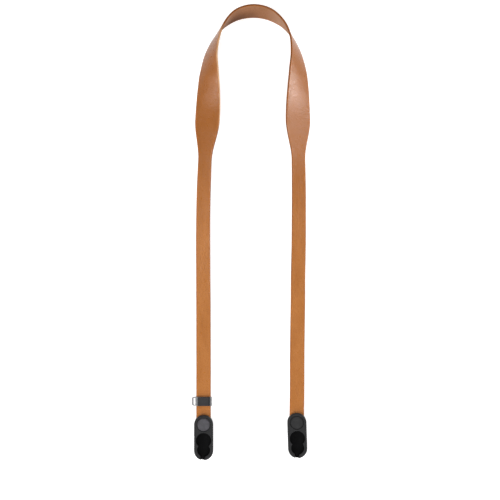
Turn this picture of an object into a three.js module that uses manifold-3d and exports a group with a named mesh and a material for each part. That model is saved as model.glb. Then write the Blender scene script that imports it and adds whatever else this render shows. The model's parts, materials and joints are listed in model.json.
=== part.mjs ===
// A camera neck strap lying on a flat surface, in millimetres, +Z up.
// One flat leather strip is wide at the neck and narrow along its two legs. It is bent into an arch
// whose middle stands on its lower edge, and the legs twist down until they lie flat, grain side up.
// Each leg ends in a moulded connector with a keyhole socket, and the left leg carries a steel keeper.
import * as THREE from 'three';
import { mergeVertices } from 'three/addons/utils/BufferGeometryUtils.js';
import Module from 'manifold-3d';

const wasm = await Module();
wasm.setup();

// ---- driving dimensions -------------------------------------------------------------------------
const LEATHER_T = 2.0;            // thickness of the strip
const EDGE_R = 0.6;               // rounding of its painted edges
const PAD_W = 29.4;               // width at the neck
const LEG_W = 15.33;              // width of the legs
const FLARE_S = 159.6;            // distance from the top of the arch to the middle of each taper
const FLARE_L = 42.0;             // length of each taper
const STRIP_HALF = 456.5;         // from the top of the arch to each end, inside the connectors
const ARCH_STEP = 7.0;            // spacing of the sections round the arch
const LEG_STEP = 17.5;            // and along the legs

const HOUSING_R = 10.0;           // half the connector's width, and the radius of its round ends
const HOUSING_SPAN = 27.2;        // between the centres of its two round ends
const HOUSING_H = 8.0;            // its height
const HOUSING_BEVEL = 0.8;        // its rounded outer edge
const FLOOR_T = 2.0;              // floor under the socket
const LIP_T = 1.6;                // lip over the socket
const LIP_CHAMFER = 0.5;
const MOUTH_R = 7.95;             // keyhole: the round mouth that a disc goes in through
const MOUTH_V = -16.6;            // its centre, from the centre of the leather-side end
const SEAT_R = 6.8;               // keyhole: the smaller round end that holds the disc down
const SEAT_V = -26.6;
const CAVITY_R = 7.95;            // the cavity under the lip, as wide as the mouth all along
const CAVITY_END_V = -26.2;
const NOTCH_W = 3.3;              // slot in the outer end wall, for the disc's cord
const NOTCH_U = -1.3;             // its centre, left of the middle
const NOTCH_FLARE = 1.9;          // how far its right side slants inwards
const SLOT_W = 16.4;              // slot that the leg goes into
const SLOT_H = 2.8;
const SLOT_END_V = -1.5;
const SLOT_Z = 3.2;               // height of its middle
const RECESS_R = 7.15;            // round recess for the cap
const RECESS_DEPTH = 1.6;
const CAP_R = 6.8;
const CAP_TOP_R = 5.95;
const CAP_TOP_Z = 7.9;
const GAP = 0.3;

const KEEPER_L = 9.55;            // along the leg
const KEEPER_X = [-60.8, -39.7];  // outer ends, ear and bar
const KEEPER_Y = -158.57;         // its middle
const SLEEVE_X = [-57.3, -39.7]; // the sleeve round the leg
const SLEEVE_H = 4.5;
const SLEEVE_R = 1.5;
const WINDOW_X = [-56.65, -40.71];
const WINDOW_Z = [0.7, 3.85];
const WINDOW_R = 0.8;
const EAR_Z = [1.5, 2.9];
const EAR_R = 1.7;                // its outer corners
const EAR_BAR = 1.65;             // the bar outside the slot
const EAR_ARM = 1.15;             // the two arms that carry it
const PLATE_X = [-54.2, -41.95];
const PLATE_T = 0.8;

// Sections of the strip. s is the length along its middle from the top of the arch, x, y and z the
// place of its middle, roll the tilt across it (0 flat, 90 on edge), bow the swell of its middle.
const SECTIONS = [
  { s: -456.5, x: -48.58, y: -181.60, z: 3.20, roll: 0.0, bow: 0.00 },
  { s: -446, x: -48.64, y: -171.20, z: 3.15, roll: 0.0, bow: 0.00 },
  { s: -434, x: -48.68, y: -159.20, z: 2.20, roll: 0.0, bow: 0.00 },
  { s: -418, x: -48.71, y: -143.20, z: 1.48, roll: 0.0, bow: 0.00 },
  { s: -395, x: -48.72, y: -120.20, z: 1.00, roll: 0.0, bow: 0.00 },
  { s: -352, x: -48.78, y: -77.15, z: 1.38, roll: 2.4, bow: 0.00 },
  { s: -330, x: -48.85, y: -55.15, z: 2.03, roll: 6.0, bow: 0.00 },
  { s: -305, x: -48.97, y: -30.25, z: 3.44, roll: 10.2, bow: 0.00 },
  { s: -270, x: -49.01, y: 4.61, z: 6.50, roll: 13.6, bow: 0.00 },
  { s: -235, x: -48.77, y: 39.49, z: 9.55, roll: 16.4, bow: 0.00 },
  { s: -200, x: -47.77, y: 74.12, z: 12.20, roll: 19.3, bow: 0.00 },
  { s: -175, x: -46.59, y: 99.00, z: 13.92, roll: 24.3, bow: 0.00 },
  { s: -150, x: -45.05, y: 123.90, z: 15.30, roll: 28.8, bow: 0.15 },
  { s: -125, x: -43.87, y: 148.79, z: 16.66, roll: 31.1, bow: 0.64 },
  { s: -105, x: -43.59, y: 168.49, z: 19.39, roll: 39.5, bow: 1.40 },
  { s: -88, x: -43.20, y: 185.32, z: 21.34, roll: 50.3, bow: 1.62 },
  { s: -70, x: -40.98, y: 203.20, z: 21.43, roll: 64.4, bow: 1.13 },
  { s: -53, x: -35.54, y: 219.16, z: 20.13, roll: 77.0, bow: 0.55 },
  { s: -35, x: -26.72, y: 234.12, z: 17.77, roll: 89.5, bow: 0.15 },
  { s: -18, x: -13.74, y: 244.58, z: 15.47, roll: 101.8, bow: -0.03 },
  { s: 0, x: 3.59, y: 248.40, z: 14.28, roll: 106.7, bow: -0.21 },
  { s: 18, x: 20.88, y: 244.58, z: 14.87, roll: 103.6, bow: -0.36 },
  { s: 35, x: 34.29, y: 234.68, z: 16.78, roll: 93.7, bow: -0.37 },
  { s: 53, x: 43.56, y: 220.21, z: 19.04, roll: 82.3, bow: -0.05 },
  { s: 70, x: 48.43, y: 204.27, z: 20.55, roll: 68.5, bow: 0.66 },
  { s: 88, x: 50.55, y: 186.47, z: 20.92, roll: 53.1, bow: 1.42 },
  { s: 105, x: 50.57, y: 169.54, z: 19.51, roll: 42.6, bow: 1.26 },
  { s: 125, x: 50.07, y: 149.80, z: 17.09, roll: 33.6, bow: 0.64 },
  { s: 150, x: 50.06, y: 124.88, z: 15.43, roll: 28.8, bow: 0.10 },
  { s: 175, x: 50.36, y: 99.92, z: 13.93, roll: 24.3, bow: 0.00 },
  { s: 200, x: 50.84, y: 74.96, z: 12.20, roll: 19.3, bow: 0.00 },
  { s: 235, x: 51.04, y: 40.07, z: 9.55, roll: 16.4, bow: 0.00 },
  { s: 270, x: 50.93, y: 5.26, z: 6.50, roll: 13.6, bow: 0.00 },
  { s: 305, x: 50.38, y: -29.49, z: 3.44, roll: 10.2, bow: 0.00 },
  { s: 330, x: 50.28, y: -54.46, z: 2.03, roll: 6.0, bow: 0.00 },
  { s: 352, x: 49.95, y: -76.43, z: 1.38, roll: 2.4, bow: 0.00 },
  { s: 395, x: 49.53, y: -119.40, z: 1.00, roll: 0.0, bow: 0.00 },
  { s: 418, x: 49.48, y: -142.40, z: 1.30, roll: 0.0, bow: 0.00 },
  { s: 434, x: 49.28, y: -158.40, z: 2.20, roll: 0.0, bow: 0.00 },
  { s: 444, x: 49.10, y: -168.20, z: 3.14, roll: 0.0, bow: 0.00 },
  { s: 456.5, x: 48.95, y: -180.50, z: 3.20, roll: 0.0, bow: 0.00 },
];

// The connectors: where the centre of the leather-side end is, and how far each is turned.
const CONNECTORS = [
  { side: 'left', x: -48.50, y: -182.60, turn: 0.0 },
  { side: 'right', x: 49.02, y: -180.47, turn: 1.76 },
];

// ---- helpers ------------------------------------------------------------------------------------
const smooth = (t) => { const c = Math.min(1, Math.max(0, t)); return c * c * (3 - 2 * c); };

// A smooth curve through one column of the table, with slopes held back where it would overshoot.
function column(rows, key, hold) {
  const n = rows.length;
  const d = [];
  for (let i = 0; i < n - 1; i++) d.push((rows[i + 1][key] - rows[i][key]) / (rows[i + 1].s - rows[i].s));
  const m = rows.map((_, i) => {
    if (i === 0) return d[0];
    if (i === n - 1) return d[n - 2];
    const a = rows[i].s - rows[i - 1].s, b = rows[i + 1].s - rows[i].s;
    if (hold && d[i - 1] * d[i] <= 0) return 0;
    const slope = (d[i - 1] * b + d[i] * a) / (a + b);
    const most = 3 * Math.min(Math.abs(d[i - 1]), Math.abs(d[i]));
    return hold ? Math.sign(slope) * Math.min(Math.abs(slope), most) : slope;
  });
  return (s) => {
    let i = 0;
    while (i < n - 2 && s > rows[i + 1].s) i++;
    const w = rows[i + 1].s - rows[i].s, t = (s - rows[i].s) / w;
    return rows[i][key] * (1 + 2 * t) * (1 - t) ** 2 + rows[i + 1][key] * t * t * (3 - 2 * t)
      + m[i] * w * t * (1 - t) ** 2 - m[i + 1] * w * t * t * (1 - t);
  };
}

const at = {
  x: column(SECTIONS, 'x', false), y: column(SECTIONS, 'y', false), z: column(SECTIONS, 'z', true),
  roll: column(SECTIONS, 'roll', true), bow: column(SECTIONS, 'bow', true),
};
const middle = (s) => new THREE.Vector3(at.x(s), at.y(s), at.z(s));
const halfWidth = (s) => LEG_W / 2
  + (PAD_W - LEG_W) / 2 * (1 - smooth((Math.abs(s) - FLARE_S + FLARE_L / 2) / FLARE_L));

// The frame of the strip at s: its middle, the direction across it (outer to inner edge) and its grain side.
function frameAt(s) {
  const e = 0.5;
  const a = Math.max(-STRIP_HALF, s - e), b = Math.min(STRIP_HALF, s + e);
  const along = middle(b).sub(middle(a)).normalize();
  const level = new THREE.Vector3(along.x, along.y, 0).normalize();
  const inward = new THREE.Vector3(level.y, -level.x, 0);
  const up = new THREE.Vector3().crossVectors(inward, along).normalize();
  const roll = at.roll(s) * Math.PI / 180;
  const across = inward.multiplyScalar(Math.cos(roll)).addScaledVector(up, Math.sin(roll));
  across.addScaledVector(along, -across.dot(along)).normalize();
  const grain = new THREE.Vector3().crossVectors(across, along).normalize();
  return { c: middle(s), across, grain };
}

// One section of the strip: a bowed bar with rounded edges, as points going round it.
function section(s) {
  const { c, across, grain } = frameAt(s);
  const h = halfWidth(s), t = LEATHER_T / 2, flat = h - EDGE_R, bow = at.bow(s);
  const swell = (u) => bow * (1 - (u / h) ** 2);
  const point = (u, k) => c.clone().addScaledVector(across, u).addScaledVector(grain, k + swell(u) - bow);
  const top = [-flat, -flat * 0.55, 0, flat * 0.55, flat].map((u) => point(u, t));
  const under = [flat, flat * 0.55, 0, -flat * 0.55, -flat].map((u) => point(u, -t));
  const nose = t - EDGE_R;
  return [...top, point(h, nose), point(h, -nose), ...under, point(-h, -nose), point(-h, nose)];
}

// A closed body through sections of equal point count, with a flat face at each end.
function loft(sections) {
  const n = sections[0].length, pos = [], idx = [];
  for (const ring of sections) for (const p of ring) pos.push(p.x, p.y, p.z);
  for (let i = 0; i + 1 < sections.length; i++) {
    for (let j = 0; j < n; j++) {
      const a = i * n + j, b = i * n + (j + 1) % n, c = a + n, d = b + n;
      idx.push(a, b, d, a, d, c);
    }
  }
  const last = (sections.length - 1) * n;
  for (let j = 1; j + 1 < n; j++) {
    idx.push(0, j + 1, j);
    idx.push(last, last + j, last + j + 1);
  }
  const g = new THREE.BufferGeometry();
  g.setAttribute('position', new THREE.Float32BufferAttribute(pos, 3));
  g.setIndex(idx);
  return g;
}

function solid(geometry) {
  const g = geometry.clone();
  for (const name of ['normal', 'uv']) if (g.getAttribute(name)) g.deleteAttribute(name);
  const m = mergeVertices(g, 1e-5);
  return new wasm.Manifold(new wasm.Mesh({
    numProp: 3,
    vertProperties: new Float32Array(m.getAttribute('position').array),
    triVerts: new Uint32Array(m.index.array),
  }));
}

function geometryOf(manifold) {
  const mesh = manifold.getMesh();
  const g = new THREE.BufferGeometry();
  const pos = new Float32Array(mesh.triVerts.length * 3);
  mesh.triVerts.forEach((v, i) => {
    for (let k = 0; k < 3; k++) pos[i * 3 + k] = mesh.vertProperties[v * mesh.numProp + k];
  });
  g.setAttribute('position', new THREE.BufferAttribute(pos, 3));
  g.computeVertexNormals();
  return g;
}

// A plain extrusion of a shape between two heights.
function block(shape, z0, z1, curveSegments = 12) {
  const g = new THREE.ExtrudeGeometry(shape, { depth: z1 - z0, bevelEnabled: false, curveSegments });
  g.translate(0, 0, z0);
  return solid(g);
}

// The outline of two round ends joined by straight sides, along v.
function capsule(r, v0, v1) {
  const s = new THREE.Shape();
  s.absarc(0, v1, r, 0, Math.PI, false);
  s.absarc(0, v0, r, Math.PI, 2 * Math.PI, false);
  s.closePath();
  return s;
}

function disc(r, v) {
  const s = new THREE.Shape();
  s.absarc(0, v, r, 0, 2 * Math.PI, false);
  return s;
}

function polygon(points) {
  return new THREE.Shape(points.map(([x, y]) => new THREE.Vector2(x, y)));
}

// A rectangle with its four corners rounded, corner radii from the lower left going round.
function rounded(x0, y0, x1, y1, [a, b, c, d]) {
  const s = new THREE.Shape();
  s.moveTo(x0 + a, y0);
  s.lineTo(x1 - b, y0);
  if (b) s.absarc(x1 - b, y0 + b, b, -Math.PI / 2, 0, false);
  s.lineTo(x1, y1 - c);
  if (c) s.absarc(x1 - c, y1 - c, c, 0, Math.PI / 2, false);
  s.lineTo(x0 + d, y1);
  if (d) s.absarc(x0 + d, y1 - d, d, Math.PI / 2, Math.PI, false);
  s.lineTo(x0, y0 + a);
  if (a) s.absarc(x0 + a, y0 + a, a, Math.PI, 1.5 * Math.PI, false);
  s.closePath();
  return s;
}

// ---- the leather strip --------------------------------------------------------------------------
function strap() {
  const stations = [];
  const half = [0];
  while (half[half.length - 1] < 182) half.push(half[half.length - 1] + ARCH_STEP);
  while (half[half.length - 1] < STRIP_HALF - LEG_STEP * 0.6) half.push(half[half.length - 1] + LEG_STEP);
  half[half.length - 1] = STRIP_HALF;
  for (let i = half.length - 1; i > 0; i--) stations.push(-half[i]);
  stations.push(...half);
  return loft(stations.map(section));
}

// ---- a connector, about the centre of its leather-side end, +v towards the leather ---------------
function housing() {
  const outline = capsule(HOUSING_R, -HOUSING_SPAN, 0);
  const g = new THREE.ExtrudeGeometry(outline, {
    depth: HOUSING_H - 2 * HOUSING_BEVEL, bevelEnabled: true, bevelThickness: HOUSING_BEVEL,
    bevelSize: HOUSING_BEVEL, bevelOffset: -HOUSING_BEVEL, bevelSegments: 2, curveSegments: 20,
  });
  g.translate(0, 0, HOUSING_BEVEL);
  let body = solid(g);
  // the cavity that the disc slides in, and the keyhole in the lip above it
  body = body.subtract(block(capsule(CAVITY_R, CAVITY_END_V, MOUTH_V), FLOOR_T, HOUSING_H - LIP_T, 20));
  for (const [r, v] of [[MOUTH_R, MOUTH_V], [SEAT_R, SEAT_V]]) {
    body = body.subtract(block(disc(r, v), FLOOR_T + 1, HOUSING_H + 1, 40));
    const z = HOUSING_H;
    const cone = new THREE.LatheGeometry([
      new THREE.Vector2(0, z - LIP_CHAMFER - 0.01), new THREE.Vector2(r, z - LIP_CHAMFER - 0.01),
      new THREE.Vector2(r + LIP_CHAMFER, z), new THREE.Vector2(r + LIP_CHAMFER, z + 1), new THREE.Vector2(0, z + 1),
    ], 40);
    cone.rotateX(Math.PI / 2);
    cone.translate(0, v, 0);
    body = body.subtract(solid(cone));
  }
  // the notch for the cord, slanting open towards the cavity on its right side
  const outer = -HOUSING_SPAN - HOUSING_R - 1, inner = CAVITY_END_V - CAVITY_R + 1.6;
  const left = NOTCH_U - NOTCH_W / 2, right = NOTCH_U + NOTCH_W / 2;
  body = body.subtract(block(polygon([
    [left, outer], [right, outer], [right, -HOUSING_SPAN - HOUSING_R + 0.4],
    [right + NOTCH_FLARE, inner], [left - 0.4, inner],
  ]), FLOOR_T, HOUSING_H + 1));
  // the slot that the leg goes into, and the recess for the cap
  const slot = new THREE.BoxGeometry(SLOT_W, HOUSING_R + 1 - SLOT_END_V, SLOT_H);
  slot.translate(0, (HOUSING_R + 1 + SLOT_END_V) / 2, SLOT_Z);
  body = body.subtract(solid(slot));
  body = body.subtract(block(disc(RECESS_R, 0), HOUSING_H - RECESS_DEPTH, HOUSING_H + 1, 40));
  return geometryOf(body);
}

function cap() {
  const z0 = HOUSING_H - RECESS_DEPTH + GAP;
  const g = new THREE.LatheGeometry([
    new THREE.Vector2(0, z0), new THREE.Vector2(CAP_R, z0), new THREE.Vector2(CAP_R, CAP_TOP_Z - 0.65),
    new THREE.Vector2(CAP_TOP_R + 0.2, CAP_TOP_Z - 0.1), new THREE.Vector2(CAP_TOP_R, CAP_TOP_Z),
    new THREE.Vector2(0, CAP_TOP_Z),
  ], 40);
  g.rotateX(Math.PI / 2);
  return geometryOf(solid(g));
}

// ---- the keeper: a sleeve round the leg with a slotted ear, and its face plate --------------------
function keeperFrame() {
  // outline across the leg (x, z), run along the leg
  const across = (shape) => {
    const g = new THREE.ExtrudeGeometry(shape, { depth: KEEPER_L, bevelEnabled: false, curveSegments: 5 });
    g.rotateX(Math.PI / 2);
    g.translate(0, KEEPER_Y + KEEPER_L / 2, 0);
    return solid(g);
  };
  let body = across(rounded(SLEEVE_X[0], 0, SLEEVE_X[1], SLEEVE_H, [0.9, 0.9, 1.2, SLEEVE_R]));
  const y0 = KEEPER_Y - KEEPER_L / 2, y1 = KEEPER_Y + KEEPER_L / 2;
  const ear = block(rounded(KEEPER_X[0], y0, SLEEVE_X[0] + 0.3, y1, [EAR_R, 0, 0, EAR_R]), EAR_Z[0], EAR_Z[1], 5);
  const eye = block(rounded(KEEPER_X[0] + EAR_BAR, y0 + EAR_ARM, SLEEVE_X[0], y1 - EAR_ARM, [0.6, 0, 0, 0.6]),
    EAR_Z[0] - 1, EAR_Z[1] + 1, 4);
  body = body.add(ear.subtract(eye));
  const window = new THREE.ExtrudeGeometry(
    rounded(WINDOW_X[0], WINDOW_Z[0], WINDOW_X[1], WINDOW_Z[1], [WINDOW_R, WINDOW_R, WINDOW_R, WINDOW_R]),
    { depth: KEEPER_L + 2, bevelEnabled: false, curveSegments: 4 },
  );
  window.rotateX(Math.PI / 2);
  window.translate(0, KEEPER_Y + KEEPER_L / 2 + 1, 0);
  body = body.subtract(solid(window));
  return geometryOf(body);
}

function keeperPlate() {
  const y0 = KEEPER_Y - KEEPER_L / 2, y1 = KEEPER_Y + KEEPER_L / 2, b = 0.3;
  const g = new THREE.ExtrudeGeometry(rounded(PLATE_X[0], y0, PLATE_X[1], y1, [0.6, 0.6, 0.6, 0.6]), {
    depth: PLATE_T - 2 * b, bevelEnabled: true, bevelThickness: b, bevelSize: b, bevelOffset: -b, bevelSegments: 1, curveSegments: 3,
  });
  g.translate(0, 0, SLEEVE_H + GAP + b);
  return geometryOf(solid(g));
}

// ---- assembly -----------------------------------------------------------------------------------
const leather = new THREE.MeshStandardMaterial({ color: 0xc08048, roughness: 0.55, metalness: 0.0 });
const black = () => new THREE.MeshStandardMaterial({ color: 0x39393b, roughness: 0.6, metalness: 0.0 });
const capGrey = () => new THREE.MeshStandardMaterial({ color: 0x4c4b4e, roughness: 0.5, metalness: 0.0 });
const steel = new THREE.MeshStandardMaterial({ color: 0x9c9da2, roughness: 0.3, metalness: 1.0 });
const plateBlack = new THREE.MeshStandardMaterial({ color: 0x3c3b3f, roughness: 0.45, metalness: 0.6 });

const named = (name, geometry, material) => {
  const mesh = new THREE.Mesh(geometry, material);
  mesh.name = name;
  return mesh;
};

const lying = new THREE.Group();
lying.add(named('leather_strap', strap(), leather));
for (const { side, x, y, turn } of CONNECTORS) {
  const connector = new THREE.Group();
  connector.position.set(x, y, 0);
  connector.rotation.z = turn * Math.PI / 180;
  connector.add(named(`${side}_housing`, housing(), black()));
  connector.add(named(`${side}_cap`, cap(), capGrey()));
  lying.add(connector);
}
lying.add(named('keeper_frame', keeperFrame(), steel));
lying.add(named('keeper_plate', keeperPlate(), plateBlack));

// The origin is the middle of the base of everything together.
lying.updateMatrixWorld(true);
const box = new THREE.Box3().setFromObject(lying, true);
lying.position.set(-(box.min.x + box.max.x) / 2, -(box.min.y + box.max.y) / 2, -box.min.z);

const strapGroup = new THREE.Group();
strapGroup.add(lying);
export default strapGroup;
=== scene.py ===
"""A camera neck strap of tan leather, lying on a pale surface and seen from straight above.

One leather strip lies flat along its two legs and stands up on its lower edge round the neck. Each leg
ends in a black connector with a keyhole socket, and the left leg carries a small steel keeper.
Lengths in the tables are in millimetres, in the place where the strap lies; MM brings them to metres.
"""

import json
import math

import bpy
import numpy as np
from mathutils import Matrix, Vector, noise

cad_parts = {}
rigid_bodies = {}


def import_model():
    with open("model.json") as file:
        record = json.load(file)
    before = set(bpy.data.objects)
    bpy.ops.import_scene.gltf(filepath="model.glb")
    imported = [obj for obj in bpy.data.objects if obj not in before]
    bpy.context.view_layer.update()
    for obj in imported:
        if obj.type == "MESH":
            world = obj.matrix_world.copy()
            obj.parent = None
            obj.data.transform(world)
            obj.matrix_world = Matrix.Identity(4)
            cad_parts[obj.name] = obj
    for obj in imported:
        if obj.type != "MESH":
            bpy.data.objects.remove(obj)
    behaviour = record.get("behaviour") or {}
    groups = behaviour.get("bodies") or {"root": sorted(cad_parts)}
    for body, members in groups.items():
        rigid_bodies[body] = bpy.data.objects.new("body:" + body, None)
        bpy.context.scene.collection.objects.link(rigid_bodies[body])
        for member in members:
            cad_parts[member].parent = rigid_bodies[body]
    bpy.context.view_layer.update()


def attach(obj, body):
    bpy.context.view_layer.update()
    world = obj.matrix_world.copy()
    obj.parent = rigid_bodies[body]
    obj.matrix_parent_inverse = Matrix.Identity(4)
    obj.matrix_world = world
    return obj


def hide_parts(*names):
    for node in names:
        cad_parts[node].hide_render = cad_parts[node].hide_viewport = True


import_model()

MM = 0.001
LYING = np.array([-0.9735, -16.8973, 0.0])      # from the tables' place to the middle of the base

# ---- camera -------------------------------------------------------------------------------------
scene = bpy.context.scene
camera_data = bpy.data.cameras.new("camera")
camera_data.sensor_width = 36.0
camera_data.lens = 102.96
camera_data.clip_start, camera_data.clip_end = 0.05, 20.0
camera = bpy.data.objects.new("camera", camera_data)
camera.location = (LYING[0] * MM, LYING[1] * MM, 1.5015)
scene.collection.objects.link(camera)
scene.camera = camera


# ---- small helpers ------------------------------------------------------------------------------
def smooth(t):
    c = np.clip(t, 0.0, 1.0)
    return c * c * (3 - 2 * c)


def new_object(name, vertices, faces):
    """A mesh object from points in millimetres."""
    mesh = bpy.data.meshes.new(name)
    mesh.from_pydata([tuple(np.asarray(v) * MM) for v in vertices], [], faces)
    mesh.validate()
    mesh.update()
    made = bpy.data.objects.new(name, mesh)
    scene.collection.objects.link(made)
    return made


def grid_faces(rings, around, closed_rings=False, closed_around=True):
    """Quads over a grid of rings, each with the same number of points."""
    faces = []
    for i in range(rings if closed_rings else rings - 1):
        a0, b0 = i * around, (i + 1) % rings * around
        for j in range(around if closed_around else around - 1):
            k = (j + 1) % around
            faces.append((a0 + j, a0 + k, b0 + k, b0 + j))
    return faces


def loft(name, rings):
    """A closed body through rings of equal point count, going round anticlockwise as seen from the last one."""
    n, m = len(rings), len(rings[0])
    faces = grid_faces(n, m)
    faces.append(tuple(range(m - 1, -1, -1)))
    faces.append(tuple(range((n - 1) * m, n * m)))
    return new_object(name, [p for ring in rings for p in ring], faces)


def lathe(name, profile, at, around=128):
    """A profile of (radius, z) turned about a vertical axis at (x, y), from the bottom centre to the top centre."""
    points, faces, first = [], [], []
    for r, z in profile:
        if r < 1e-9:
            first.append((len(points), 1))
            points.append((at[0], at[1], z))
        else:
            first.append((len(points), around))
            points += [(at[0] + r * math.cos(a), at[1] + r * math.sin(a), z) for a in np.linspace(0, 2 * math.pi, around, endpoint=False)]
    for (a, na), (b, nb) in zip(first, first[1:]):
        for j in range(around):
            k = (j + 1) % around
            if na == 1:
                faces.append((a, b + k, b + j))
            elif nb == 1:
                faces.append((a + j, a + k, b))
            else:
                faces.append((a + j, a + k, b + k, b + j))
    return new_object(name, points, faces)


def arc(cx, cy, r, a0, a1, steps):
    """Points of an arc, angles in degrees."""
    return [(cx + r * math.cos(math.radians(a)), cy + r * math.sin(math.radians(a))) for a in np.linspace(a0, a1, steps + 1)]


def capsule(r, v0, v1, steps=48):
    """Outline of two round ends joined by straight sides along v."""
    return arc(0, v1, r, 0, 180, steps) + arc(0, v0, r, 180, 360, steps)


def rounded(x0, y0, x1, y1, radii, steps=6):
    """A rectangle with rounded corners, from the lower left going round anticlockwise."""
    a, b, c, d = radii
    return (arc(x0 + a, y0 + a, a, 180, 270, steps) + arc(x1 - b, y0 + b, b, 270, 360, steps)
            + arc(x1 - c, y1 - c, c, 0, 90, steps) + arc(x0 + d, y1 - d, d, 90, 180, steps))


def prism(name, outline, z0, z1):
    return loft(name, [[(x, y, z) for x, y in outline] for z in (z0, z1)])


def combine(body, others, how="DIFFERENCE"):
    """body cut by, or joined with, each of the others, which are used up."""
    for other in others:
        modifier = body.modifiers.new("combine", "BOOLEAN")
        modifier.operation, modifier.solver, modifier.object = how, "EXACT", other
        bpy.context.view_layer.update()
        mesh = bpy.data.meshes.new_from_object(body.evaluated_get(bpy.context.evaluated_depsgraph_get()))
        body.modifiers.clear()
        body.data = mesh
        bpy.data.objects.remove(other)
    return body


def finish_hard(piece, angle=32):
    """Smooth shading with sharp edges kept, and flat faces that shade flat."""
    for o in bpy.context.selected_objects:
        o.select_set(False)
    piece.select_set(True)
    bpy.context.view_layer.objects.active = piece
    bpy.ops.object.shade_smooth_by_angle(angle=math.radians(angle))
    weighted = piece.modifiers.new("flat faces", "WEIGHTED_NORMAL")
    weighted.keep_sharp = True
    weighted.weight = 90
    return piece


def place(piece, at, turn_deg=0.0):
    """Moves a piece's points from its own place, about which it was made, to where it lies."""
    move = Matrix.Translation(Vector((at + LYING) * MM)) @ Matrix.Rotation(math.radians(turn_deg), 4, "Z")
    piece.data.transform(move)
    return piece


# ---- materials ----------------------------------------------------------------------------------
class Nodes:
    """A short way to write node trees."""

    def __init__(self, name):
        self.material = bpy.data.materials.new(name)
        self.material.use_nodes = True
        self.tree = self.material.node_tree
        self.shader = self.tree.nodes["Principled BSDF"]

    def node(self, kind, settings=None, **inputs):
        made = self.tree.nodes.new(kind)
        for key, value in (settings or {}).items():
            setattr(made, key, value)
        for key, value in inputs.items():
            self.put(made.inputs[key.replace("_", " ")], value)
        return made

    def put(self, socket, value):
        if isinstance(value, bpy.types.NodeSocket):
            self.tree.links.new(value, socket)
        else:
            socket.default_value = value

    def set(self, **inputs):
        for key, value in inputs.items():
            self.put(self.shader.inputs[key.replace("_", " ")], value)

    def attribute(self, name, output="Fac"):
        return self.node("ShaderNodeAttribute", {"attribute_name": name}).outputs[output]

    def object_place(self):
        return self.node("ShaderNodeTexCoord").outputs["Object"]

    def scaled(self, vector, scale):
        made = self.node("ShaderNodeMapping", {"vector_type": "POINT"})
        self.put(made.inputs["Vector"], vector)
        made.inputs["Scale"].default_value = scale
        return made.outputs["Vector"]

    def noise(self, vector, scale, detail=2.0, roughness=0.5, distortion=0.0):
        made = self.node("ShaderNodeTexNoise", {"noise_dimensions": "3D"}, Scale=scale, Detail=detail, Roughness=roughness, Distortion=distortion)
        self.put(made.inputs["Vector"], vector)
        return made.outputs["Fac"]

    def voronoi(self, vector, scale, feature="SMOOTH_F1", smoothness=0.35):
        made = self.node("ShaderNodeTexVoronoi", {"feature": feature}, Scale=scale)
        if feature == "SMOOTH_F1":
            made.inputs["Smoothness"].default_value = smoothness
        self.put(made.inputs["Vector"], vector)
        return made.outputs["Distance"]

    def math(self, how, a, b=None, c=None, clamp=False):
        made = self.node("ShaderNodeMath", {"operation": how, "use_clamp": clamp})
        for socket, value in zip(made.inputs, (a, b, c)):
            if value is not None:
                self.put(socket, value)
        return made.outputs[0]

    def ramp(self, value, low, high, to_low=0.0, to_high=1.0, soft=True):
        made = self.node("ShaderNodeMapRange", {"interpolation_type": "SMOOTHSTEP" if soft else "LINEAR", "clamp": True})
        for key, v in (("Value", value), ("From Min", low), ("From Max", high), ("To Min", to_low), ("To Max", to_high)):
            self.put(made.inputs[key], v)
        return made.outputs["Result"]

    def mix(self, factor, a, b, blend="MIX"):
        made = self.node("ShaderNodeMix", {"data_type": "RGBA", "blend_type": blend, "clamp_factor": True})
        self.put(made.inputs[0], factor)
        for socket, value in ((made.inputs[6], a), (made.inputs[7], b)):
            self.put(socket, (*value, 1.0) if isinstance(value, tuple) and len(value) == 3 else value)
        return made.outputs[2]

    def bump(self, height, strength, distance, normal=None):
        made = self.node("ShaderNodeBump", None, Strength=strength, Distance=distance)
        self.put(made.inputs["Height"], height)
        if normal is not None:
            self.put(made.inputs["Normal"], normal)
        return made.outputs["Normal"]


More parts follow.
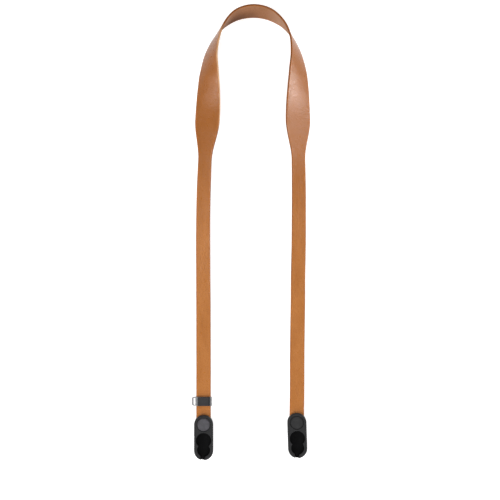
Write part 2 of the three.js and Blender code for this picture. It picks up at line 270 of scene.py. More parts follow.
def leather_material():
    n = Nodes("leather")
    # along the strip, across it and through it, in centimetres, so that the grain follows the strip round its bends
    place_on = n.attribute("strip_place", "Vector")
    rim, side = n.attribute("rim"), n.attribute("side")

    # grain side: a warm tan with slow, cloudy changes and fine darker pores
    cloud = n.noise(n.scaled(place_on, (0.35, 0.9, 0.5)), 1.0, 3.0, 0.55)
    mottle = n.noise(place_on, 3.2, 4.0, 0.6)
    speck = n.noise(place_on, 8.5, 3.0, 0.6)
    grain = n.mix(n.ramp(cloud, 0.3, 0.7), GRAIN_DEEP, GRAIN_LIGHT)
    grain = n.mix(n.ramp(mottle, 0.35, 0.72, 0.0, 0.4), grain, GRAIN_WARM)
    # the legs' colour holds a painted sheen, paler and less saturated; on the wide pad it gives way to a deeper tone
    # without it
    split = n.node("ShaderNodeSeparateXYZ")
    n.put(split.inputs[0], place_on)
    away = n.math("ABSOLUTE", split.outputs["X"])
    grain = n.mix(n.ramp(away, 29.0, 16.0, 0.0, 0.8), grain, GRAIN_PAD)
    cells = n.voronoi(n.scaled(place_on, (0.85, 1.15, 1.0)), 11.0, "SMOOTH_F1", 0.5)
    pores = n.ramp(n.noise(place_on, 42.0, 2.0, 0.5), 0.60, 0.72)
    grain = n.mix(n.math("MULTIPLY", pores, 0.16), grain, GRAIN_PORE)
    grain = n.mix(n.ramp(speck, 0.44, 0.66, 0.0, 0.34), grain, GRAIN_PORE)

    # flesh side: paler, pinkish and fibrous
    fibre = n.noise(n.scaled(place_on, (1.2, 3.0, 2.0)), 9.0, 5.0, 0.7, 0.6)
    felt = n.noise(place_on, 2.4, 3.0, 0.6)
    flesh = n.mix(n.ramp(fibre, 0.38, 0.64), FLESH_DEEP, FLESH_LIGHT)
    flesh = n.mix(n.ramp(felt, 0.35, 0.7, 0.0, 0.45), flesh, FLESH_WARM)
    # painted shade: darker towards its lower edge, on one half more than the other
    painted_shade_mask = n.math("MULTIPLY", n.ramp(split.outputs["X"], 1.6, -1.8), n.ramp(split.outputs["Y"], 0.8, -1.2))
    flesh = n.mix(n.math("MULTIPLY", painted_shade_mask, 0.85), flesh, FLESH_PAINTED_SHADE)
    # and painted light: paler away from the top of the arch
    painted_light_mask = n.math("ADD", n.ramp(split.outputs["X"], 1.0, 3.2, 0.0, 0.55), n.ramp(split.outputs["X"], -2.3, -3.3, 0.0, 0.55))
    flesh = n.mix(painted_light_mask, flesh, FLESH_PAINTED_LIGHT)

    # edges: burnished and painted dark, a little uneven where they meet the faces
    streak = n.noise(n.scaled(place_on, (0.8, 6.0, 6.0)), 6.0, 3.0, 0.6)
    edge = n.mix(n.ramp(streak, 0.3, 0.75), EDGE_DEEP, EDGE_LIGHT)
    # along one side of the neck pad the edge is paler: a painted highlight
    edge_highlight_mask = n.math("MULTIPLY", n.ramp(split.outputs["X"], -15.2, -13.4), n.ramp(split.outputs["X"], -3.6, -5.4))
    edge = n.mix(n.math("MULTIPLY", edge_highlight_mask, n.ramp(split.outputs["Y"], 0.2, 0.6)), edge, EDGE_PAINTED_HIGHLIGHT)

    is_grain = n.ramp(side, -0.15, 0.15)
    face = n.mix(is_grain, flesh, grain)
    ragged = n.math("MULTIPLY", n.math("SUBTRACT", n.noise(place_on, 5.0, 3.0, 0.6), 0.5), 0.25)
    reach = n.math("ADD", rim, ragged)
    painted = n.ramp(reach, EDGE_FROM, EDGE_TO, 1.0, 0.0)
    # just inside the paint the faces are darker too, where the burnishing heat has reached
    warmed = n.math("MULTIPLY", n.ramp(reach, EDGE_TO, BURN_TO, 1.0, 0.0), BURN)
    face = n.mix(warmed, face, BURN_COLOUR)
    colour = n.mix(painted, face, edge)

    grain_rough = n.ramp(mottle, 0.3, 0.7, GRAIN_ROUGH - 0.04, GRAIN_ROUGH + 0.05, soft=False)
    face_rough = n.math("ADD", n.math("MULTIPLY", is_grain, n.math("SUBTRACT", grain_rough, 0.86)), 0.86)
    rough = n.math("ADD", n.math("MULTIPLY", painted, n.math("SUBTRACT", EDGE_ROUGH, face_rough)), face_rough)

    # relief: soft cells with fine pores on the grain side, fibres on the flesh side, faint streaks on the edges
    grain_height = n.math("ADD", n.math("MULTIPLY", cells, 0.55), n.math("MULTIPLY", n.noise(place_on, 30.0, 3.0, 0.6), 0.45))
    grain_height = n.math("ADD", grain_height, n.math("MULTIPLY", n.noise(place_on, 10.0, 2.0, 0.55), 1.3))
    flesh_height = n.math("MULTIPLY", fibre, 1.6)
    face_height = n.math("ADD", n.math("MULTIPLY", is_grain, n.math("SUBTRACT", grain_height, flesh_height)), flesh_height)
    height = n.math("ADD", n.math("MULTIPLY", painted, n.math("SUBTRACT", n.math("MULTIPLY", streak, 0.5), face_height)), face_height)
    n.set(Base_Color=colour, Roughness=rough, Normal=n.bump(height, 0.8, 0.00022))
    n.set(Specular_IOR_Level=LEATHER_SPECULAR)
    return n.material


def plastic_material(name, colour, light, roughness, specular, texture=6500.0, depth=0.00004):
    """Moulded plastic with a fine spark texture."""
    n = Nodes(name)
    where = n.object_place()
    cloud = n.noise(where, 240.0, 3.0, 0.6)
    spark = n.noise(where, texture, 2.0, 0.6)
    base = n.mix(n.ramp(cloud, 0.3, 0.7), colour, light)
    base = n.mix(n.ramp(spark, 0.55, 0.75, 0.0, 0.25), base, tuple(min(1.0, c * 1.7) for c in light))
    n.set(Base_Color=base, Roughness=n.ramp(cloud, 0.3, 0.7, roughness - 0.03, roughness + 0.04, soft=False),
          Normal=n.bump(spark, 0.5, depth))
    n.set(Specular_IOR_Level=specular)
    return n.material


def metal_material(name, colour, light, roughness, metallic=1.0, specular=0.5, band=None):
    """Steel with faint brushing along the leg."""
    n = Nodes(name)
    where = n.object_place()
    brushed = n.noise(n.scaled(where, (9000.0, 500.0, 9000.0)), 1.0, 3.0, 0.6)
    cloud = n.noise(where, 420.0, 3.0, 0.6)
    base = n.mix(n.ramp(cloud, 0.3, 0.7), colour, light)
    if band is not None:                    # a painted shadow: a darker stripe beyond x, in metres
        split = n.node("ShaderNodeSeparateXYZ")
        n.put(split.inputs[0], where)
        base = n.mix(n.ramp(split.outputs["X"], band[0], band[1]), base, band[2])
    n.set(Base_Color=base,
          Roughness=n.ramp(brushed, 0.3, 0.7, roughness - 0.04, roughness + 0.06, soft=False),
          Normal=n.bump(brushed, 0.25, 0.00001))
    n.set(Metallic=metallic, Specular_IOR_Level=specular)
    return n.material


# colours, linear
# the grain colours pale the legs with a painted sheen; GRAIN_PAD is the pad's deeper tone without it
GRAIN_DEEP, GRAIN_LIGHT, GRAIN_WARM = (0.336, 0.121, 0.0265), (0.382, 0.145, 0.0365), (0.356, 0.127, 0.0265)
GRAIN_PAD = (0.268, 0.080, 0.0070)
GRAIN_PORE = (0.225, 0.070, 0.012)
FLESH_DEEP, FLESH_LIGHT, FLESH_WARM = (0.195, 0.080, 0.033), (0.305, 0.141, 0.067), (0.245, 0.102, 0.043)
# painted shade and painted light for the flesh side, in that order
FLESH_PAINTED_SHADE, FLESH_PAINTED_LIGHT = (0.110, 0.044, 0.018), (0.320, 0.185, 0.118)
EDGE_DEEP, EDGE_LIGHT = (0.150, 0.042, 0.005), (0.240, 0.070, 0.010)
# a painted highlight colour for one edge
EDGE_PAINTED_HIGHLIGHT = (0.470, 0.260, 0.130)
BURN_COLOUR, BURN = (0.330, 0.112, 0.020), 0.6
EDGE_FROM, EDGE_TO, BURN_TO = 0.35, 0.95, 2.1      # millimetres in from the edge
GRAIN_ROUGH, EDGE_ROUGH, LEATHER_SPECULAR = 0.30, 0.60, 0.22

leather = leather_material()
black_plastic = plastic_material("connector_plastic", (0.0176, 0.0176, 0.0184), (0.0220, 0.0220, 0.0230), 0.46, 0.33)
# inside the sockets, slot, notch and recess: the connector plastic painted darker and duller, as painted shade
socket_shade_painted = plastic_material("socket_plastic_painted_shade", (0.0050, 0.0050, 0.0052), (0.0064, 0.0064, 0.0068), 0.45, 0.04)
# the two caps are one plastic: painted lighter on the left and painted darker on the right, as light falls on them
cap_lit_painted = plastic_material("cap_plastic_painted_lit", (0.056, 0.054, 0.060), (0.071, 0.069, 0.077), 0.42, 0.33, 5200.0)
cap_shade_painted = plastic_material("cap_plastic_painted_shade", (0.0200, 0.0200, 0.0205), (0.0255, 0.0255, 0.0262), 0.45, 0.33, 5200.0)
steel = metal_material("keeper_steel", (0.64, 0.64, 0.655), (0.72, 0.72, 0.73), 0.26)
# its end towards the steel bar carries a painted shadow stripe
plate_black = metal_material("plate_black", (0.026, 0.026, 0.027), (0.033, 0.032, 0.034), 0.42, 0.0, 0.33, band=(-0.04424, -0.04406, (0.010, 0.011, 0.013)))


# ---- the leather strip --------------------------------------------------------------------------
LEATHER_T, GRAIN_EDGE_R, FLESH_EDGE_R = 2.0, 0.80, 0.55
PAD_W, LEG_W, FLARE_S, FLARE_L = 29.4, 15.33, 159.6, 42.0
STRIP_HALF = 456.5
ARCH_END, ARCH_STEP, LEG_STEP = 186.0, 1.25, 2.25

# length from the top of the arch, the middle's place, the tilt across the strip and its bow
COLUMNS = ("s", "x", "y", "z", "roll", "bow")
SECTIONS = np.array([
    (-456.5, -48.58, -181.60, 3.20, 0.0, 0.00),
    (-446, -48.64, -171.20, 3.15, 0.0, 0.00),
    (-434, -48.68, -159.20, 2.20, 0.0, 0.00),
    (-418, -48.71, -143.20, 1.48, 0.0, 0.00),
    (-395, -48.72, -120.20, 1.00, 0.0, 0.00),
    (-352, -48.78, -77.15, 1.38, 2.4, 0.00),
    (-330, -48.85, -55.15, 2.03, 6.0, 0.00),
    (-305, -48.97, -30.25, 3.44, 10.2, 0.00),
    (-270, -49.01, 4.61, 6.50, 13.6, 0.00),
    (-235, -48.77, 39.49, 9.55, 16.4, 0.00),
    (-200, -47.77, 74.12, 12.20, 19.3, 0.00),
    (-175, -46.59, 99.00, 13.92, 24.3, 0.00),
    (-150, -45.05, 123.90, 15.30, 28.8, 0.15),
    (-125, -43.87, 148.79, 16.66, 31.1, 0.64),
    (-105, -43.59, 168.49, 19.39, 39.5, 1.40),
    (-88, -43.20, 185.32, 21.34, 50.3, 1.62),
    (-70, -40.98, 203.20, 21.43, 64.4, 1.13),
    (-53, -35.54, 219.16, 20.13, 77.0, 0.55),
    (-35, -26.72, 234.12, 17.77, 89.5, 0.15),
    (-18, -13.74, 244.58, 15.47, 101.8, -0.03),
    (0, 3.59, 248.40, 14.28, 106.7, -0.21),
    (18, 20.88, 244.58, 14.87, 103.6, -0.36),
    (35, 34.29, 234.68, 16.78, 93.7, -0.37),
    (53, 43.56, 220.21, 19.04, 82.3, -0.05),
    (70, 48.43, 204.27, 20.55, 68.5, 0.66),
    (88, 50.55, 186.47, 20.92, 53.1, 1.42),
    (105, 50.57, 169.54, 19.51, 42.6, 1.26),
    (125, 50.07, 149.80, 17.09, 33.6, 0.64),
    (150, 50.06, 124.88, 15.43, 28.8, 0.10),
    (175, 50.36, 99.92, 13.93, 24.3, 0.00),
    (200, 50.84, 74.96, 12.20, 19.3, 0.00),
    (235, 51.04, 40.07, 9.55, 16.4, 0.00),
    (270, 50.93, 5.26, 6.50, 13.6, 0.00),
    (305, 50.38, -29.49, 3.44, 10.2, 0.00),
    (330, 50.28, -54.46, 2.03, 6.0, 0.00),
    (352, 49.95, -76.43, 1.38, 2.4, 0.00),
    (395, 49.53, -119.40, 1.00, 0.0, 0.00),
    (418, 49.48, -142.40, 1.30, 0.0, 0.00),
    (434, 49.28, -158.40, 2.20, 0.0, 0.00),
    (444, 49.10, -168.20, 3.14, 0.0, 0.00),
    (456.5, 48.95, -180.50, 3.20, 0.0, 0.00),
])


def column(key, hold):
    """A smooth curve through one column of the table, with slopes held back where it would overshoot."""
    s, v = SECTIONS[:, 0], SECTIONS[:, COLUMNS.index(key)]
    w = np.diff(s)
    d = np.diff(v) / w
    m = np.empty(len(s))
    m[0], m[-1] = d[0], d[-1]
    m[1:-1] = (d[:-1] * w[1:] + d[1:] * w[:-1]) / (w[:-1] + w[1:])
    if hold:
        most = 3 * np.minimum(np.abs(d[:-1]), np.abs(d[1:]))
        m[1:-1] = np.where(d[:-1] * d[1:] <= 0, 0.0, np.sign(m[1:-1]) * np.minimum(np.abs(m[1:-1]), most))

    def at(q):
        i = np.clip(np.searchsorted(s, q, side="left") - 1, 0, len(s) - 2)
        h = w[i]
        t = (q - s[i]) / h
        return (v[i] * (1 + 2 * t) * (1 - t) ** 2 + v[i + 1] * t * t * (3 - 2 * t)
                + m[i] * h * t * (1 - t) ** 2 - m[i + 1] * h * t * t * (1 - t))
    return at


AT = {key: column(key, key not in ("x", "y")) for key in COLUMNS[1:]}


def unit(v):
    return v / np.linalg.norm(v, axis=-1, keepdims=True)


def middle(s):
    return np.stack([AT["x"](s), AT["y"](s), AT["z"](s)], -1)


def half_width(s):
    return LEG_W / 2 + (PAD_W - LEG_W) / 2 * (1 - smooth((np.abs(s) - FLARE_S + FLARE_L / 2) / FLARE_L))


def frames(s):
    """The middle of the strip at each s, the direction from its outer to its inner edge, and its grain side."""
    ahead, behind = np.minimum(STRIP_HALF, s + 0.5), np.maximum(-STRIP_HALF, s - 0.5)
    along = unit(middle(ahead) - middle(behind))
    level = unit(along * [1, 1, 0])
    inward = np.stack([level[:, 1], -level[:, 0], np.zeros(len(s))], -1)
    up = unit(np.cross(inward, along))
    roll = np.radians(AT["roll"](s))[:, None]
    across = inward * np.cos(roll) + up * np.sin(roll)
    across = unit(across - along * (across * along).sum(-1, keepdims=True))
    return middle(s), across, unit(np.cross(across, along))


def section_points():
    """One section of the strip going round: (share of the flat width, offset past it, height, distance in from the edge)."""
    t, a, b = LEATHER_T / 2, GRAIN_EDGE_R, FLESH_EDGE_R
    face = np.sin(np.linspace(-1, 1, 23) * math.pi / 2) * 0.35 + np.linspace(-1, 1, 23) * 0.65
    rows = [(f, 0.0, t, a, +1.0) for f in face]
    turn = np.radians(np.linspace(0, 90, 8))[1:]
    rows += [(1.0, a * math.sin(q), t - a + a * math.cos(q), a, +1.0) for q in turn]
    rows += [(1.0, b * math.cos(q), -t + b - b * math.sin(q), b, -1.0) for q in np.radians(np.linspace(0, 90, 7))]
    rows += [(f, 0.0, -t, b, -1.0) for f in face[::-1][1:]]
    rows += [(-1.0, -b * math.sin(q), -t + b - b * math.cos(q), b, -1.0) for q in np.radians(np.linspace(0, 90, 7))[1:]]
    rows += [(-1.0, -a * math.cos(q), t - a + a * math.sin(q), a, +1.0) for q in np.radians(np.linspace(0, 90, 8))[:-1]]
    return rows


def make_strap():
    half = np.concatenate([np.arange(0, ARCH_END, ARCH_STEP), np.linspace(ARCH_END, STRIP_HALF, int((STRIP_HALF - ARCH_END) / LEG_STEP))])
    s = np.concatenate([-half[:0:-1], half])
    c, across, grain = frames(s)
    h, bow = half_width(s), AT["bow"](s)
    rows = section_points()
    n, m = len(s), len(rows)
    points = np.zeros((n, m, 3))
    spot, rim, side = np.zeros((n, m, 3)), np.zeros((n, m)), np.zeros((n, m))
    # hand-cut edges and a supple strip: both faces wander a little together
    wander = np.array([noise.noise(Vector((q * 0.021, 3.1, 0.4))) for q in s])
    cut = {+1: np.array([noise.noise(Vector((q * 0.034, 7.7, 1.3))) for q in s]),
           -1: np.array([noise.noise(Vector((q * 0.034, 1.9, 8.6))) for q in s])}
    free = smooth((STRIP_HALF - 42 - np.abs(s)) / 30)       # nothing moves inside the keeper and the connectors
    for j, (f, past, k, r, which) in enumerate(rows):
        u = f * (h - r) + past
        u = u + np.sign(f) * (np.abs(f) > 0.999) * 0.07 * cut[+1 if f > 0 else -1] * free
        wave = 0.16 * free * (wander * 0.6 + np.array([noise.noise(Vector((q * 0.028, v * 0.05, 5.0))) for q, v in zip(s, u)]) * 0.6)
        lift = k - bow * (u / h) ** 2 + wave * smooth((np.abs(AT["z"](s)) - 1.05) / 1.5)
        points[:, j] = c + across * u[:, None] + grain * lift[:, None]
        spot[:, j] = np.stack([s * 0.1, u * 0.1, np.full(n, k * 0.1)], -1)
        depth = (LEATHER_T / 2 - abs(k)) if abs(f) > 0.999 else 0.0
        rim[:, j] = np.maximum(0.0, (h - np.abs(u)) + 0.35 * (1 - smooth(depth / 0.6)) * (abs(f) > 0.999)) if depth < 0.6 else 0.0
        side[:, j] = which if abs(f) < 0.999 or depth < 0.5 else which * 0.5
    points = points.reshape(-1, 3) + LYING
    points[:, 2] = np.maximum(points[:, 2], 0.01)
    faces = grid_faces(n, m)
    faces.append(tuple(range(m - 1, -1, -1)))
    faces.append(tuple(range((n - 1) * m, n * m)))
    piece = new_object("strap_leather", points, faces)
    data = piece.data
    for name, kind, key, values in (("strip_place", "FLOAT_VECTOR", "vector", spot), ("rim", "FLOAT", "value", rim), ("side", "FLOAT", "value", side)):
        layer = data.attributes.new(name, kind, "POINT")
        layer.data.foreach_set(key, values.astype(np.float32).ravel())
    data.shade_smooth()
    # a map that lays four lengths of the strip side by side, each as long as the strip is wide round its section
    uv = data.uv_layers.new(name="OFBake")
    perimeter = np.concatenate([[0], np.cumsum([math.dist((rows[j][0] * 10 + rows[j][1], rows[j][2]), (rows[(j + 1) % m][0] * 10 + rows[(j + 1) % m][1], rows[(j + 1) % m][2])) for j in range(m)])])
    perimeter /= perimeter[-1]
    run = (s + STRIP_HALF) / (2 * STRIP_HALF) * 4
    flat = np.zeros((len(data.loops), 2), np.float32)
    for polygon in data.polygons:
        index = np.array([data.loops[i].vertex_index for i in polygon.loop_indices])
        i, j = index // m, index % m
        if len(index) == 4:
            across_at = perimeter[np.where((j == 0) & (j.max() == m - 1), m, j)]
            lane = int(min(3, math.floor(run[i].mean())))
            flat[list(polygon.loop_indices), 0] = (lane + 0.02 + 0.96 * across_at) / 4
            flat[list(polygon.loop_indices), 1] = 0.03 + 0.955 * (run[i] - lane)
        else:
            angle = j / m * 2 * math.pi
            end = 0 if i[0] == 0 else 1
            flat[list(polygon.loop_indices), 0] = 0.01 + 0.02 * end + 0.006 * np.cos(angle)
            flat[list(polygon.loop_indices), 1] = 0.012 + 0.006 * np.sin(angle)
    uv.data.foreach_set("uv", flat.ravel())
    data.materials.append(leather)
    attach(piece, "root")
    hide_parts("leather_strap")
    return piece


strap = make_strap()

# ---- the connectors, each about the centre of its leather-side end, +y towards the leather -------
CONNECTORS = (("left", -48.50, -182.60, 0.0), ("right", 49.02, -180.47, 1.76))
HOUSING_R, HOUSING_SPAN, HOUSING_H, HOUSING_ROUND = 10.0, 27.2, 8.0, 0.85
NOSE_ROUND, NOSE_DROP = 1.6, 0.85
FLOOR_T, LIP_T, LIP_ROUND = 2.0, 1.6, 0.45
MOUTH_R, MOUTH_V, SEAT_R, SEAT_V = 7.95, -16.6, 6.8, -26.6
CAVITY_R, CAVITY_END_V = 7.95, -26.2
NOTCH_W, NOTCH_U, NOTCH_FLARE = 3.3, -1.3, 1.9
SLOT_W, SLOT_H, SLOT_END_V, SLOT_Z = 16.4, 2.8, -1.5, 3.2
RECESS_R, RECESS_DEPTH = 7.15, 1.6
CAP_R, CAP_TOP_R, CAP_TOP_Z, GAP = 6.8, 5.95, 7.9, 0.3


def make_housing(side, x, y, turn):
    top = HOUSING_H
    turn_in = [(1 - math.sin(q), 1 - math.cos(q)) for q in np.radians(np.linspace(0, 90, 9))]
    lower = [[(u, v, HOUSING_ROUND * drop) for u, v in capsule(HOUSING_R - HOUSING_ROUND * inset, -HOUSING_SPAN, 0, 64)] for inset, drop in turn_in]
    upper = []
    for inset, drop in turn_in[::-1]:
        ring = []
        for u, v in capsule(HOUSING_R, -HOUSING_SPAN, 0, 64):
            # the edge towards the leather falls away further than the others
            r = HOUSING_ROUND + (NOSE_ROUND - HOUSING_ROUND) * float(smooth((v - 1.0) / 6.5))
            k = 1 - r * inset / HOUSING_R
            v0 = min(max(v, -HOUSING_SPAN), 0.0)
            ring.append((u * k, v0 + (v - v0) * k, top - r * drop * (NOSE_DROP if v > 0 else 1.0) ** float(smooth(v / 6.0))))
        upper.append(ring)
    body = loft(f"{side}_connector", lower + upper)
    cutters = [prism("cutter", capsule(CAVITY_R, CAVITY_END_V, MOUTH_V, 64), FLOOR_T, top - LIP_T)]
    for r, v in ((MOUTH_R, MOUTH_V), (SEAT_R, SEAT_V)):
        edge = [(r + LIP_ROUND - LIP_ROUND * math.cos(q), top - LIP_ROUND + LIP_ROUND * math.sin(q)) for q in np.radians(np.linspace(0, 90, 7))]
        cutters.append(lathe("cutter", [(0, FLOOR_T + 1.5), (r, FLOOR_T + 1.5), *edge, (r + LIP_ROUND, top + 1), (0, top + 1)], (0, v), 160))
    outer, inner = -HOUSING_SPAN - HOUSING_R - 1, CAVITY_END_V - CAVITY_R + 1.6
    left, right = NOTCH_U - NOTCH_W / 2, NOTCH_U + NOTCH_W / 2

    def notch(grow):
        return [(left - grow, outer), (right + grow, outer), (right + grow, -HOUSING_SPAN - HOUSING_R + 0.4),
                (right + NOTCH_FLARE + grow * 1.2, inner), (left - 0.4 - grow, inner)]
    cutters.append(prism("cutter", notch(0.0), FLOOR_T, top + 1))
    flare = [(0.0, top - 1.0), (0.16, top - 0.62), (0.44, top - 0.28), (0.85, top), (0.9, top + 0.05)]
    cutters.append(loft("cutter", [[(u, v, z) for u, v in notch(grow)] for grow, z in flare]))
    # the slot for the leg, with rounded corners
    slot = [rounded(-SLOT_W / 2, SLOT_Z - SLOT_H / 2, SLOT_W / 2, SLOT_Z + SLOT_H / 2, [0.7] * 4, 6) for _ in range(2)]
    cutters.append(loft("cutter", [[(u, v, z) for u, z in ring] for ring, v in zip(slot, (HOUSING_R + 1, SLOT_END_V))]))
    rim = [(RECESS_R + 0.3 - 0.3 * math.cos(q), top - 0.3 + 0.3 * math.sin(q)) for q in np.radians(np.linspace(0, 90, 6))]
    cutters.append(lathe("cutter", [(0, top - RECESS_DEPTH), (RECESS_R, top - RECESS_DEPTH), *rim, (RECESS_R + 0.3, top + 1), (0, top + 1)], (0, 0), 160))
    combine(body, cutters)
    body.data.materials.clear()
    body.data.materials.append(black_plastic)
    body.data.materials.append(socket_shade_painted)
    for polygon in body.data.polygons:
        u, v, z = polygon.center / MM
        in_cavity = math.hypot(u, v - min(max(v, CAVITY_END_V), MOUTH_V)) < CAVITY_R + 0.05
        in_keyhole = min(math.hypot(u, v - MOUTH_V) - MOUTH_R, math.hypot(u, v - SEAT_V) - SEAT_R) < 0.03
        in_slot = abs(u) < SLOT_W / 2 + 0.05 and v > SLOT_END_V - 0.05 and abs(z - SLOT_Z) < SLOT_H / 2 + 0.02 and math.hypot(u, v) < HOUSING_R - 0.3
        in_recess = math.hypot(u, v) < RECESS_R + 0.02 and z < top - 0.35
        in_notch = left - 0.5 < u < right + NOTCH_FLARE + 0.2 and v < inner + 0.4 and FLOOR_T - 0.05 < z < top - 0.9
        # hollow faces take the darker plastic, as painted shade
        polygon.material_index = int(
            in_notch or (FLOOR_T - 0.05 < z < top - LIP_T + 0.05 and in_cavity) or (z < top - LIP_ROUND and in_keyhole and z > FLOOR_T) or in_slot or (in_recess and z > 6.2))
    finish_hard(body)
    place(body, np.array([x, y, 0.0]), turn)
    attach(body, "root")
    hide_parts(f"{side}_housing")
    return body


def make_cap(side, x, y, turn):
    z0 = HOUSING_H - RECESS_DEPTH + GAP
    shoulder = CAP_TOP_Z - 0.62
    profile = [(0, z0), (CAP_R - 0.15, z0), (CAP_R, z0 + 0.12)]
    profile += [(CAP_R, shoulder - 0.1), (CAP_R - 0.06, shoulder), (CAP_R - 0.2, shoulder + 0.06), (CAP_TOP_R + 0.42, shoulder + 0.1)]
    profile += [(CAP_TOP_R + 0.28 - 0.28 * math.sin(q), CAP_TOP_Z - 0.28 + 0.28 * math.sin(q)) for q in np.radians(np.linspace(0, 90, 6))[1:]]
    profile += [(r, CAP_TOP_Z - 0.10 * (1 - (r / CAP_TOP_R) ** 2)) for r in (5.2, 4.2, 3.0, 1.6)] + [(0, CAP_TOP_Z - 0.10)]
    cap = lathe(f"{side}_cover", profile, (0, 0), 128)
    cap.data.materials.append(cap_lit_painted if side == "left" else cap_shade_painted)
    finish_hard(cap, 40)
    place(cap, np.array([x, y, 0.0]), turn)
    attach(cap, "root")
    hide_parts(f"{side}_cap")
    return cap


for connector in CONNECTORS:
    make_housing(*connector)
    make_cap(*connector)

# ---- the keeper: a steel sleeve round the leg with a slotted ear, and a black face plate -----------
KEEPER_L, KEEPER_Y = 9.55, -158.57
SLEEVE_X, SLEEVE_H = (-57.3, -39.7), 4.5
WINDOW_X, WINDOW_Z, WINDOW_R = (-56.65, -40.71), (0.7, 3.85), 0.8
EAR_X, EAR_Z, EAR_R, EAR_BAR, EAR_ARM = -60.8, (1.5, 2.9), 1.7, 1.65, 1.15
PLATE_X, PLATE_Z = (-54.7, -41.95), 4.8


def band(name, outer, inner, low, high, b, lay):
    """A ring between two outlines of equal point count, with rounded edges, laid out by a function of (p, height)."""
    quarter = np.radians(np.linspace(0, 90, 5))
    # going round the section: outer wall up, top, inner wall down, bottom
    rows = []
    for q in quarter:
        rows.append(("o", b * (1 - math.sin(q)), low + b * (1 - math.cos(q))))
    for q in quarter[::-1]:
        rows.append(("o", b * (1 - math.sin(q)), high - b * (1 - math.cos(q))))
    for q in quarter:
        rows.append(("i", b * (1 - math.sin(q)), high - b * (1 - math.cos(q))))
    for q in quarter[::-1]:
        rows.append(("i", b * (1 - math.sin(q)), low + b * (1 - math.cos(q))))
    outer, inner = np.array(outer), np.array(inner)
    gap = inner - outer
    width = np.linalg.norm(gap, axis=1, keepdims=True)
    towards = gap / np.maximum(width, 1e-9)
    points = []
    for where, inset, height in rows:
        line = outer + towards * inset if where == "o" else inner - towards * inset
        points += [lay(p, height) for p in line]
    faces = grid_faces(len(rows), len(outer), closed_rings=True)
    return new_object(name, points, faces)


def make_keeper():
    y0, y1 = KEEPER_Y - KEEPER_L / 2, KEEPER_Y + KEEPER_L / 2
    outer = rounded(SLEEVE_X[0], 0.0, SLEEVE_X[1], SLEEVE_H, [1.2, 1.0, 1.3, 2.5], 12)
    inner = rounded(WINDOW_X[0], WINDOW_Z[0], WINDOW_X[1], WINDOW_Z[1], [WINDOW_R] * 4, 12)
    sleeve = band("keeper_sleeve", outer, inner, -y1, -y0, 0.16, lambda p, height: (p[0], -height, p[1]))
    ear_outer = rounded(EAR_X, y0 + 0.02, SLEEVE_X[0] + 0.32, y1 - 0.02, [EAR_R, 0.05, 0.05, EAR_R], 10)
    ear_inner = rounded(EAR_X + EAR_BAR, y0 + EAR_ARM, SLEEVE_X[0] - 0.05, y1 - EAR_ARM, [0.6, 0.05, 0.05, 0.6], 10)
    ear = band("ear", ear_outer, ear_inner, EAR_Z[0], EAR_Z[1], 0.50, lambda p, height: (p[0], p[1], height))
    for piece in (sleeve, ear):
        make_outward(piece)
    combine(sleeve, [ear], "UNION")
    sleeve.data.materials.clear()
    sleeve.data.materials.append(steel)
    finish_hard(sleeve, 40)
    place(sleeve, np.zeros(3))
    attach(sleeve, "root")
    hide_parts("keeper_frame")

    # the face plate, plain, with softly rounded edges
    x0, x1 = PLATE_X
    edge = [(0.12, 0.0), (0.0, 0.12), (0.0, 0.46), (0.07, 0.64), (0.19, 0.76), (0.34, 0.80)]
    plate = loft("keeper_face", [[(u, v, PLATE_Z + z) for u, v in rounded(x0 + i, y0 + i, x1 - i, y1 - i, [0.6 - i * 0.6] * 4, 6)] for i, z in edge])
    plate.data.materials.append(plate_black)
    finish_hard(plate, 40)
    place(plate, np.zeros(3))
    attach(plate, "root")
    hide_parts("keeper_plate")


def make_outward(piece):
    """Turns a closed body's faces outward."""
    mesh = piece.data
    volume = 0.0
    for polygon in mesh.polygons:
        v = [mesh.vertices[i].co for i in polygon.vertices]
        for a, b in zip(v[1:], v[2:]):
            volume += v[0].dot(a.cross(b))
    if volume < 0:
        mesh.flip_normals()


make_keeper()

# ---- floor, light -------------------------------------------------------------------------------
floor_nodes = Nodes("floor")
tone = floor_nodes.noise(floor_nodes.object_place(), 6.0, 2.0, 0.5)
floor_nodes.set(Base_Color=floor_nodes.mix(floor_nodes.ramp(tone, 0.3, 0.7), (0.69, 0.69, 0.69), (0.71, 0.71, 0.71)), Roughness=0.9)
floor_nodes.set(Emission_Color=(1.0, 1.0, 1.0, 1.0), Emission_Strength=0.62)      # a faintly lit table, so that no shadow shows
floor = new_object("floor", [(-3000, -3000, -0.02), (3000, -3000, -0.02), (3000, 3000, -0.02), (-3000, 3000, -0.02)], [(0, 1, 2, 3)])
floor.data.materials.append(floor_nodes.material)

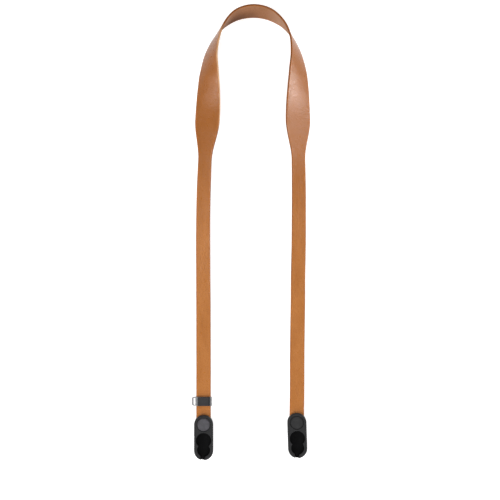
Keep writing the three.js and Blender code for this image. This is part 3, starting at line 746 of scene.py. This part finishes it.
# soft boxes aimed at the middle: direction round from +x, height above the floor in degrees, distance, width, power.
# The fills only brighten, and the sheens only show as highlights.
LIGHTS = {
    "fill right low": (350, 7, 1.7, 0.5, 6.4),
    "fill right front": (350, 20, 1.7, 0.5, 3.4),
    "fill right": (5, 20, 1.7, 0.5, 3.4),
    "fill back": (60, 20, 1.7, 0.7, 5.0),
    "fill back high": (30, 45, 1.7, 0.7, 4.2),
    "fill left": (200, 40, 1.7, 0.7, 4.7),
    "fill left front low": (225, 15, 1.7, 0.7, 6.6),
    "fill left front": (225, 34, 1.7, 0.7, 8.0),
    "fill front low": (250, 21, 1.7, 0.7, 6.9),
    "fill front": (270, 42, 1.7, 0.7, 2.3),
    "fill front high": (270, 60, 1.5, 0.7, 5.4),
    "fill overhead": (0, 90, 1.75, 1.0, 3.2),
    "sheen right": (347, 17, 1.7, 0.45, 25.0),
    "sheen right low": (345, 9, 1.7, 0.4, 16.0),
    "sheen right middle": (353, 14, 1.7, 0.45, 16.0),
    "sheen right back": (10, 8, 1.7, 0.4, 5.0),
    "sheen left": (199, 24, 1.7, 0.5, 27.0),
    "sheen left high": (225, 48, 1.7, 0.7, 3.0),
}
on_leather = bpy.data.collections.new("on the leather")
on_leather.objects.link(next(o for o in bpy.data.objects if o.name == "strap_leather"))
for name, (turn, rise, away, size, power) in LIGHTS.items():
    data = bpy.data.lights.new(name, "AREA")
    data.shape, data.size, data.energy = "SQUARE", size, power
    light = bpy.data.objects.new(name, data)
    turn, rise = math.radians(turn), math.radians(rise)
    light.location = (away * math.cos(rise) * math.cos(turn), away * math.cos(rise) * math.sin(turn), away * math.sin(rise))
    light.rotation_mode = "QUATERNION"
    light.rotation_quaternion = (-light.location).to_track_quat("-Z", "Y")
    light.visible_glossy = name.startswith("sheen")
    light.visible_diffuse = name.startswith("fill")
    if name.startswith("sheen"):
        light.light_linking.receiver_collection = on_leather
    scene.collection.objects.link(light)

world = bpy.data.worlds.new("world")
world.use_nodes = True
world.node_tree.nodes["Background"].inputs["Color"].default_value = (1.0, 1.0, 1.0, 1.0)
world.node_tree.nodes["Background"].inputs["Strength"].default_value = 0.3
scene.world = world

scene.view_settings.view_transform = "Standard"
scene.view_settings.look = "None"
scene.view_settings.exposure = 0.0
scene.view_settings.gamma = 1.0
